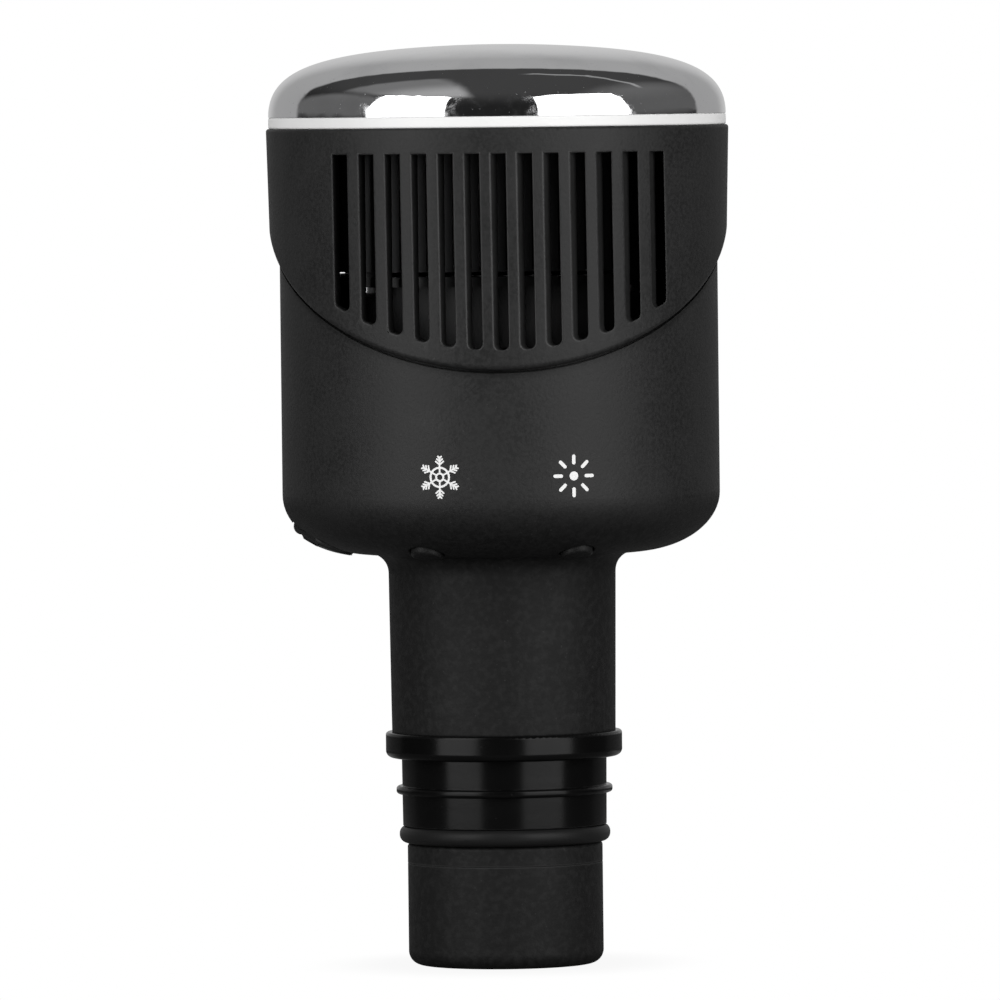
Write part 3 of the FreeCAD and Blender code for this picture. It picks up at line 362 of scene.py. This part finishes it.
# The fins' near-black colour is painted shade for the inside of the slots.
drawn_metal("sink_aluminium", (0.020, 0.020, 0.021), 0.62, (5000, 300, 5000), 0.3)
drawn_metal("screw_steel", (0.55, 0.55, 0.56), 0.32, (4000, 4000, 600))
drawn_metal("socket_steel", (0.60, 0.60, 0.61), 0.28, (6000, 6000, 500))
drawn_metal("cell_steel", (0.62, 0.62, 0.60), 0.24, (500, 500, 5000))
print("drawn metals:", [name for name in finishes if "steel" in name or "aluminium" in name])

# %% Sintered and pressed materials
def grainy(name, light, dark, size, rough, metallic, pores):
    """Pressed powder: crystals of two tones with small pores between them."""
    finish = Finish(name, Metallic=metallic)
    crystals = finish.cells(size)
    hole = finish.cloud(size * 1.4, 1.0).step(0.62, 0.72)
    mixed = finish.blend(crystals.step(0.15, 0.75), toned(light, 1.0), toned(dark, 1.0))
    finish.set(
        Base_Color=finish.blend(hole * pores, mixed, toned(dark, 0.4)),
        Roughness=rough + (crystals - 0.4) * 0.2 + hole * 0.1,
        Normal=finish.relief(crystals - hole * pores, 0.03 * MM, 0.4))


grainy("bearing_bronze", (0.62, 0.44, 0.22), (0.46, 0.31, 0.14), 0.18 * MM, 0.42, 1.0, 0.8)
grainy("magnet", (0.115, 0.115, 0.125), (0.07, 0.07, 0.075), 0.12 * MM, 0.6, 0.3, 0.4)
grainy("alloy_legs", (0.34, 0.34, 0.37), (0.22, 0.22, 0.24), 0.3 * MM, 0.45, 0.9, 0.2)
grainy("alumina", (0.86, 0.86, 0.84), (0.80, 0.80, 0.77), 0.1 * MM, 0.55, 0.0, 0.15)
grainy("foam", (0.085, 0.085, 0.088), (0.045, 0.045, 0.047), 0.35 * MM, 0.85, 0.0, 0.9)
grainy("thermal_pad", (0.46, 0.51, 0.58), (0.36, 0.41, 0.49), 0.16 * MM, 0.75, 0.0, 0.3)
print("pressed materials:", len(finishes), "finishes so far")

# %% Laminations
SHEET = 0.35 * MM
lamination = Finish("stator_steel", Metallic=0.7)
sheet = lamination.start.node(
    "ShaderNodeTexWave", {"bands_direction": "Z"},
    {"Vector": lamination.place, "Scale": 1 / (6.28 * SHEET), "Distortion": 0.3})
sheet_line = sheet.step(0.0, 0.25)
varnish = lamination.cloud(1.5 * MM, 3.0)
varnish_tone = lamination.blend(varnish, (0.38, 0.30, 0.24, 1.0), (0.30, 0.20, 0.13, 1.0))
lamination.set(
    Base_Color=lamination.blend(sheet_line, (0.05, 0.035, 0.025, 1.0), varnish_tone),
    Roughness=0.35 + varnish * 0.2,
    Normal=lamination.relief(sheet_line, 0.05 * MM, 0.6))
print("laminations:", len(lamination.start.tree.nodes), "nodes")

# %% Wires, wraps and fan plastic
def coated(name, base, rough, along, speckle):
    """Extruded or shrunk plastic skin with faint flow lines and small specks."""
    finish = Finish(name, Specular_IOR_Level=0.4)
    flow = finish.lines(along)
    patch = finish.cloud(2.5 * MM)
    fleck = finish.cloud(0.3 * MM, 1.0).step(0.72, 0.78)
    colour = finish.blend(flow * 0.5 + patch * 0.5, toned(base, 0.8), toned(base, 1.2))
    finish.set(
        Base_Color=finish.blend(fleck * speckle, colour, toned(base, 1.6, 0.02)),
        Roughness=rough + (patch - 0.5) * 0.15 + (flow - 0.5) * 0.1,
        Normal=finish.relief(flow, 0.02 * MM, 0.25))


coated("red_wire", (0.50, 0.035, 0.03), 0.35, (1500, 1500, 300), 0.2)
coated("black_wire", (0.022, 0.022, 0.023), 0.35, (1500, 1500, 300), 0.2)
coated("sensor_wire", (0.68, 0.68, 0.66), 0.38, (2500, 2500, 400), 0.1)
coated("epoxy_bead", (0.035, 0.035, 0.036), 0.18, (900, 900, 900), 0.1)
coated("cell_wrap", (0.04, 0.17, 0.38), 0.22, (250, 250, 1800), 0.1)
coated("fan_plastic", (0.009, 0.009, 0.0095), 0.5, (1800, 1800, 900), 0.5)
print("coated finishes:", len(finishes), "in all")

# %% [markdown]
# ## Control board
# The board is glass fibre under a green lacquer. Copper tracks show through the lacquer as paler lines.
# Real tracks could be drawn one by one, but cell borders measured in city blocks run straight and
# turn at right angles in the same way, at no cost in faces.

# %% Board
TRACK_PITCH = 2.2 * MM
BLOCKS = {"distance": "MANHATTAN", "voronoi_dimensions": "2D", "randomness": 0.85}
board = Finish("board", Specular_IOR_Level=0.5)
near = board.cells(TRACK_PITCH, feature="F1", **BLOCKS)
next_near = board.cells(TRACK_PITCH, feature="F2", **BLOCKS)
track = (next_near - near).fall(0.10, 0.16)
pad = near.fall(0.10, 0.13)
weave = board.lines((2500, 2500, 200))
lacquer = board.blend(weave, (0.010, 0.085, 0.035, 1.0), (0.014, 0.11, 0.048, 1.0))
copper = board.blend(track, lacquer, (0.035, 0.19, 0.075, 1.0))
board.set(
    Base_Color=board.blend(pad, copper, (0.62, 0.60, 0.54, 1.0)),
    Roughness=0.32 + weave * 0.12, Metallic=pad * 0.9,
    Normal=board.relief(track + pad, 0.04 * MM, 0.5))
print("board nodes:", len(board.start.tree.nodes))

# %% Components, of which two are round cans in a dark sleeve
CAN_ANGLES = (120, 160)
CAN_REACH = 9 * MM
CAN_EDGE = (2.2 * MM, 2.3 * MM)
CAN_TOP = (55.15 * MM, 55.25 * MM)
package = Finish("components", Specular_IOR_Level=0.45)
level_place = package.place.vector("MULTIPLY", (1.0, 1.0, 0.0))
cans = []
for angle in CAN_ANGLES:
    middle = (CAN_REACH * cos(radians(angle)), CAN_REACH * sin(radians(angle)), 0.0)
    cans.append(level_place.vector("DISTANCE", middle, "Value").fall(*CAN_EDGE))
can = cans[0] + cans[1]
bare = package.axis("Z").step(*CAN_TOP)
grit = package.cloud(0.2 * MM)
moulded = package.blend(grit, grey(0.045), grey(0.065))
can_colour = package.blend(bare, (0.02, 0.03, 0.07, 1.0), (0.66, 0.66, 0.67, 1.0))
package.set(
    Base_Color=package.blend(can, moulded, can_colour),
    Metallic=can * bare, Roughness=0.5 - can * 0.2 + (grit - 0.5) * 0.2,
    Normal=package.relief(grit, 0.02 * MM, 0.3))
print("finishes:", sorted(finishes))

# %% [markdown]
# ## Dressing the pieces
# The part's record says which finish each of its pieces has, as a maker's list of parts would.
# Finishes could be set piece by piece here, but following that list can't leave a piece out.

# %% Finishes onto the CAD pieces
for part in frame["record"]["subparts"]:
    node = frame["nodes"][part["node"]]
    node.material_slots[0].material = finishes[part["material_slot"]]

# %% [markdown]
# ## Rounded edges
# A mould can't make a knife edge, so each slot has a small round where it meets the outside, and the soft
# cover of the charge inlet is round all along its outer edge. Those rounds are what catches the light.
# They could be faked in the finish, but then the edge of the picture would still show sharp corners,
# so copies of both pieces are bevelled and shown in their place.

# %% A copy with rounded edges
ROUNDED_FROM = radians(35)
SHARP_FROM = radians(32)


def shaded(mesh):
    """Shades all faces smooth, but keeps sharp edges sharp."""
    for face in mesh.faces:
        face.smooth = True
    for edge in mesh.edges:
        edge.smooth = edge.calc_face_angle(0) < SHARP_FROM


def placed(mesh, name, finish):
    """Turns a mesh that is ready into an object of the scene, with its finish."""
    data = bpy.data.meshes.new(name)
    mesh.to_mesh(data)
    mesh.free()
    data.materials.append(finish)
    thing = bpy.data.objects.new(name, data)
    bpy.context.scene.collection.objects.link(thing)
    return thing


def rounded_copy(node, body, slot, radius, chosen):
    """Shows a copy of a CAD piece in its place, with its chosen sharp edges rounded and marked for wear and
    a painted highlight.
    """
    mesh = bmesh.new()
    mesh.from_mesh(frame["nodes"][node].data)
    bmesh.ops.remove_doubles(mesh, verts=mesh.verts, dist=0.001 * MM)
    bmesh.ops.dissolve_limit(mesh, angle_limit=radians(0.5), verts=mesh.verts, edges=mesh.edges)
    rims = [e for e in mesh.edges if e.calc_face_angle_signed(0) > ROUNDED_FROM and chosen(e)]
    made = bmesh.ops.bevel(mesh, geom=rims, offset=radius * MM, segments=4, profile=0.5, affect="EDGES")
    # Marks the rounded faces, which the shell's finish paints paler, partly as wear and partly as painted
    # highlight.
    wear = mesh.verts.layers.float.new("wear")
    rounds = set(made["faces"])
    for vert in mesh.verts:
        vert[wear] = float(all(face in rounds for face in vert.link_faces))
    shaded(mesh)
    copy = placed(mesh, "rounded_" + node, finishes[slot])
    copy.modifiers.new("even shading", "WEIGHTED_NORMAL").keep_sharp = True
    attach(copy, body)
    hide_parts(node)
    print(node, "edges rounded:", len(rims), "faces:", len(copy.data.polygons))


# %% Ribs of the vent
CONE_RADIUS = 22.85 * MM
CONE_BOTTOM = 60.8 * MM
CONE_SLOPE = 0.6 / 24.2
RIB_TOP = 84 * MM
OFF_LOWER_EDGE = 0.9 * MM


def on_slot_face(edge):
    """True for an edge on the tapered outside of the vent's shell, away from its upper and lower edge."""
    for x, y, z in (vert.co for vert in edge.verts):
        cone = CONE_RADIUS + CONE_SLOPE * (z - CONE_BOTTOM)
        arc = (1 - min(abs(x) / SHIELD_HALF_WIDTH, 1) ** 2) ** 0.5
        lower_edge = SHIELD_ENDS - SHIELD_DROP * arc
        if abs(hypot(x, y) - cone) > 0.05 * MM or not lower_edge + OFF_LOWER_EDGE < z < RIB_TOP:
            return False
    return True


rounded_copy("vent_housing", "casing", "black_shell", 0.2, on_slot_face)

# %% Outer edge of the inlet's cover
KNUCKLE = Vector((-20.2, 0, 44.813))
KNUCKLE_CLEAR = 0.9
OUTWARD = Vector((-0.62, 0, -0.78))


def on_cover_rim(edge):
    """True for an edge between the cover's outside and its sides, off the knuckle of its hinge."""
    for x, _, z in (vert.co / MM for vert in edge.verts):
        if hypot(x - KNUCKLE.x, z - KNUCKLE.z) <= KNUCKLE_CLEAR:
            return False
    return any(face.normal.dot(OUTWARD) > 0.7 for face in edge.link_faces)


rounded_copy("port_cover", "port_cover", "soft_rubber", 0.3, on_cover_rim)

# %% [markdown]
# ## Web of the inlet's cover
# The cover and its knuckle are moulded in one, so rubber fills the corner between them. A fillet in the
# solid would be one way. Here a thin web is drawn as a row of cross-sections along the hinge, each an arc
# round the knuckle that runs out into the cover. The arc stays slim, so that it clears the body when the
# cover swings open.

# %% Web between the cover and its knuckle
WEB_HALF_LENGTH = 3.1
WEB_SECTIONS = 9
ARC_STEPS = 16
ARC_FROM, ARC_TURN = 175, 91
ARC_REACH = 0.85
GROWING_STEPS = 10


def web_section(y):
    """Points of the web's cross-section in millimetres: an arc, then three corners inside the cover."""
    end_reach = 0.95 - 0.0075 * y * y
    points = []
    for i in range(ARC_STEPS + 1):
        turn = radians(ARC_FROM + ARC_TURN * i / ARC_STEPS)
        reach = ARC_REACH + (end_reach - ARC_REACH) * min(1, i / GROWING_STEPS)
        points.append((KNUCKLE.x + reach * cos(turn), KNUCKLE.z + reach * sin(turn)))
    return points + [(-20.0, 43.42 + 0.0122 * y * y), (-19.7, 43.75), (-20.0, 44.5)]


mesh = bmesh.new()
sections = []
for i in range(WEB_SECTIONS):
    y = WEB_HALF_LENGTH * (2 * i / (WEB_SECTIONS - 1) - 1)
    sections.append([mesh.verts.new((x * MM, y * MM, z * MM)) for x, z in web_section(y)])
for one, two in zip(sections, sections[1:]):
    for i in range(len(one)):
        j = (i + 1) % len(one)
        mesh.faces.new((one[i], one[j], two[j], two[i]))
mesh.faces.new(sections[0][::-1])
mesh.faces.new(sections[-1])
bmesh.ops.recalc_face_normals(mesh, faces=mesh.faces)
shaded(mesh)
web = placed(mesh, "cover_hinge_web", finishes["soft_rubber"])
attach(web, "port_cover")
print("hinge web faces:", len(web.data.polygons))

# %% [markdown]
# ## Printed symbols
# A snowflake marks the cold button and a sun marks the heat button. On the real part they are pad-printed,
# a film of white ink on a curved wall. A decal image would be quick, but a thin mesh wrapped on the wall
# stays sharp at any zoom. Each symbol is drawn flat from strokes, the strokes are merged
# by a constrained triangulation, and the result is bent round the body and given the ink's thickness.

# %% Strokes, rings and dots in the flat
def stroke(start, end, width, ends=0):
    """Outline of a straight stroke, with rounded ends if ends gives a number of points."""
    along = (end - start).normalized()
    side = Vector((-along.y, along.x)) * (width / 2)
    if not ends:
        return [start - side, end - side, end + side, start + side]
    points = []
    for centre, heading in ((end, 1), (start, -1)):
        for i in range(ends + 1):
            turn = pi * i / ends - pi / 2
            aim = along * cos(turn) + side.normalized() * sin(turn)
            points.append(centre + aim * (heading * width / 2))
    return points


def dot(radius, count):
    """Outline of a round dot."""
    turns = [2 * pi * i / count for i in range(count)]
    return [Vector((radius * cos(turn), radius * sin(turn))) for turn in turns]


def ring(inner, outer, count):
    """Quads that make up a flat ring."""
    turns = [2 * pi * i / count for i in range(count + 1)]
    spots = [Vector((cos(turn), sin(turn))) for turn in turns]
    return [[a * inner, a * outer, b * outer, b * inner] for a, b in zip(spots, spots[1:])]


print("stroke has", len(stroke(Vector((0, 0)), Vector((1, 0)), 0.2, 6)), "points")

# %% Print a symbol on the wall
BODY_RADIUS = 22.2
INK_TOP = 0.03
INK_ROOT = 0.01


def on_wall(spot, across, level, lift):
    """Place on the front of the round body, or a little above it, of a spot in a flat symbol."""
    turn = across / BODY_RADIUS + spot.x / BODY_RADIUS
    radius = BODY_RADIUS + lift
    return (radius * sin(turn) * MM, -radius * cos(turn) * MM, (level + spot.y) * MM)


def printed_symbol(name, outlines, across, level):
    """Merges flat outlines into one skin, bends it round the body and gives it the ink's thickness."""
    points, faces = [], []
    for shape in outlines:
        faces.append(list(range(len(points), len(points) + len(shape))))
        points += shape
    flat, _, triangles, _, _, owners = delaunay_2d_cdt(points, [], faces, 1, 1e-6)
    mesh = bmesh.new()
    top, root = (
        [mesh.verts.new(on_wall(spot, across, level, lift)) for spot in flat]
        for lift in (INK_TOP, -INK_ROOT))
    for triangle in (tri for tri, owner in zip(triangles, owners) if owner):
        mesh.faces.new([top[i] for i in triangle])
        mesh.faces.new([root[i] for i in reversed(triangle)])
    partner = dict(zip(top, root))
    for edge in [e for e in mesh.edges if len(e.link_faces) == 1 and e.verts[0] in partner]:
        loop = edge.link_loops[0]
        a, b = loop.vert, loop.link_loop_next.vert
        mesh.faces.new([b, a, partner[a], partner[b]])
    bmesh.ops.delete(mesh, geom=[v for v in mesh.verts if not v.link_faces], context="VERTS")
    symbol = placed(mesh, name, finishes["white_plastic"])
    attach(symbol, "casing")
    print(name, "faces:", len(symbol.data.polygons))


# %% Snowflake and sun
SPOKE_WIDTH = 0.165
CHEVRONS = ((1.25, 0.39, 1.58), (1.56, 0.28, 1.83), (1.86, 0.17, 2.08))
SPOKES = 6
RAYS = 8
RAY_WIDTH = 0.35

flake = ring(0.28, 0.47, 24) + ring(0.855, 1.055, 48)
for i in range(SPOKES):
    turn = Matrix.Rotation(2 * pi * i / SPOKES, 2)
    strokes = [stroke(Vector((0, 0.40)), Vector((0, 2.06)), SPOKE_WIDTH)]
    for root, reach, tip in CHEVRONS:
        for side in (-1, 1):
            strokes.append(stroke(Vector((0, root)), Vector((side * reach, tip)), SPOKE_WIDTH, 6))
    flake += [[turn @ point for point in shape] for shape in strokes]
printed_symbol("cold_symbol", flake, across=-6.19, level=50.2)

sun = [dot(0.45, 32)]
for i in range(RAYS):
    turn = Matrix.Rotation(2 * pi * i / RAYS, 2)
    ray_line = stroke(Vector((0, 1.31)), Vector((0, 1.96)), RAY_WIDTH, 10)
    sun.append([turn @ point for point in ray_line])
printed_symbol("heat_symbol", sun, across=7.40, level=50.18)

# %% [markdown]
# ## Lamps
# The photograph has two large softboxes in front, left and right. The chrome shows their shape, so they are
# two upright area lamps that stand close. Point lamps would light the black shell as well, but then the
# cap would mirror dots.

# %% Softboxes
LAMP_DISTANCE = 0.27
LAMP_LOW, LAMP_HIGH = -0.010, 0.32
LAMP_WATTS_PER_AREA = 9.68


def softbox(name, bearing, width):
    """Upright area lamp that faces the part; bearing is in degrees from the camera's side."""
    side = Vector((sin(radians(bearing)), -cos(radians(bearing)), 0))
    tall = LAMP_HIGH - LAMP_LOW
    lamp = bpy.data.lights.new(name, "AREA")
    lamp.shape = "RECTANGLE"
    lamp.size = width
    lamp.size_y = tall
    lamp.energy = LAMP_WATTS_PER_AREA * width * tall
    holder = bpy.data.objects.new(name, lamp)
    holder.location = side * LAMP_DISTANCE + Vector((0, 0, (LAMP_LOW + LAMP_HIGH) / 2))
    holder.rotation_euler = side.to_track_quat("Z", "Y").to_euler()
    holder.visible_camera = False
    bpy.context.scene.collection.objects.link(holder)
    print(name, "energy:", round(lamp.energy, 3))


softbox("softbox_left", bearing=-46, width=0.20)
softbox("softbox_right", bearing=44, width=0.24)

# %% [markdown]
# ## Table
# The part stands on a small pale table that keeps its shadow and fades into the white background. For the
# camera the paper glows almost white, a little less right under the plug, a painted shadow through which
# its real shadow shows. To the glossy pieces it is dim, apart from two patches of painted light behind the
# part, left and right. From below, the camera looks through it.
# A plain white sheet would be simpler, but the chrome and the rubber would mirror it much too bright.

# %% Table
TABLE_RADIUS = 0.22
TABLE_LEVEL = -0.05 * MM
PAINTED_SHADOW_REACH = (0.010, 0.022)
PATCH_ASIDE = 0.045
PATCH_BEHIND = 0.085
PATCH_EDGE = (0.02, 0.06)

paper = Finish("table_paper", Base_Color=grey(0.16), Roughness=0.8)
ray = {name: paper.start.node("ShaderNodeLightPath", out=f"Is {name} Ray")
       for name in ("Camera", "Glossy", "Transmission")}
# Near the plug the paper glows a little less for the camera: painted shadow, with the paper's real shadow
# showing through.
far = paper.place.vector("DISTANCE", (0.0, 0.0, 0.0), "Value").step(*PAINTED_SHADOW_REACH)
# Two patches of painted light on the paper behind the part, seen only by glossy and transmission rays.
beside = abs(paper.axis("X")) - PATCH_ASIDE
beyond = paper.axis("Y") - PATCH_BEHIND
painted_light_patch = ((beside * beside + beyond * beyond) ** 0.5).fall(*PATCH_EDGE)
mirrored = (ray["Glossy"] + ray["Transmission"]) * (far * 0.03 + painted_light_patch * 0.18)
shown = ray["Camera"] * (0.93 + far * 0.07) + mirrored
plain = Wire(paper.start.tree, paper.shader.outputs[0])
glow = paper.start.node("ShaderNodeEmission", None, {"Color": grey(1.0), "Strength": 1.0})
clear = paper.start.node("ShaderNodeBsdfTransparent")
underside = paper.start.node("ShaderNodeNewGeometry", out="Backfacing") * ray["Camera"]
from_above = paper.start.node("ShaderNodeMixShader", None, {0: shown, 1: plain, 2: glow})
seen = paper.start.node("ShaderNodeMixShader", None, {0: underside, 1: from_above, 2: clear})
paper.start.tree.links.new(seen.socket, paper.start.tree.nodes["Material Output"].inputs["Surface"])

mesh = bmesh.new()
bmesh.ops.create_circle(mesh, cap_ends=True, segments=96, radius=TABLE_RADIUS)
table = placed(mesh, "table", paper.material)
table.location.z = TABLE_LEVEL
print("table radius:", TABLE_RADIUS)

# %% [markdown]
# ## Room
# The rest of the studio is a world: plain white to the camera, and for all other rays a dark room with a
# pale sweep behind the part, a little light from the walls, and overhead a card on the left and a narrow
# bent strip on the right, which the cap mirrors. Real boards would do the same, but they would stand in
# the way of a camera that walks round the part.

# %% World
SWEEP_TILT = 0.13
STRIP_BEND_FROM = 0.3
STRIP_PLACE = 0.365

world = bpy.data.worlds.new("room")
bpy.context.scene.world = world
world.use_nodes = True
room = Wire(world.node_tree)
direction = room.node("ShaderNodeTexCoord", out="Generated")
right, away, up = (room.node("ShaderNodeSeparateXYZ", None, {0: direction}, out=name) for name in "XYZ")
left, towards = 0 - right, 0 - away

above = up.step(-0.07, 0.0)
dark = 0.018 + up.step(0.3, 0.85) * 0.04
behind = (away - up * SWEEP_TILT).step(0.48, 0.53)
sweep = behind * (0.36 + away.step(0.85, 1.0) * 0.2)
off_floor = up.step(0.0, 0.1)
left_wall = left.step(0.74, 0.84) * off_floor * 0.12
right_wall = right.step(0.50, 0.75) * off_floor * 0.10
card_place = left.step(0.16, 0.26) * away.fall(0.17, 0.27) * up.step(0.6, 0.72)
card = card_place * (0.14 + towards.step(0.0, 0.5) * 0.22)
bend = away + (right - STRIP_BEND_FROM).at_least(0.0) * 0.5 - STRIP_PLACE
strip = abs(bend).fall(0.012, 0.03) * right.step(0.07, 0.12) * right.fall(0.64, 0.74) * 0.26
room_light = dark + above * (sweep + (1 - behind) * (left_wall + right_wall) + card + strip)
camera_ray = room.node("ShaderNodeLightPath", out="Is Camera Ray")
brightness = camera_ray + (1 - camera_ray) * room_light
background = world.node_tree.nodes["Background"]
world.node_tree.links.new(brightness.socket, background.inputs["Strength"])
background.inputs["Color"].default_value = grey(1.0)
print("world nodes:", len(world.node_tree.nodes))

# %% [markdown]
# ## Camera
# The photograph is taken from far away with a long lens, a little above the level of the cap, and the part
# leans slightly. Distance, height and lean were worked out from the curves of the round edges.

# %% Camera
DISTANCE = 1.218
ELEVATION = radians(2.06)
LEAN = radians(0.65)
SENSOR_WIDTH = 36
LENS = 432
AIM = Vector((-0.13 * MM, 0, 47.1 * MM))

back = Vector((0, -cos(ELEVATION), sin(ELEVATION)))
level_right = Vector((1, 0, 0))
level_up = back.cross(level_right)
camera_right = level_right * cos(LEAN) - level_up * sin(LEAN)
camera_up = level_up * cos(LEAN) + level_right * sin(LEAN)
camera = bpy.data.objects.new("camera", bpy.data.cameras.new("camera"))
camera.data.sensor_width = SENSOR_WIDTH
camera.data.lens = LENS
camera.data.clip_start = 0.01
camera.data.clip_end = 100
turned = Matrix((camera_right, camera_up, back)).transposed().to_4x4()
camera.matrix_world = Matrix.Translation(AIM + back * DISTANCE) @ turned
bpy.context.scene.collection.objects.link(camera)
bpy.context.scene.camera = camera
bpy.context.scene.view_settings.view_transform = "Standard"
print("camera at:", [round(v, 4) for v in camera.matrix_world.translation])
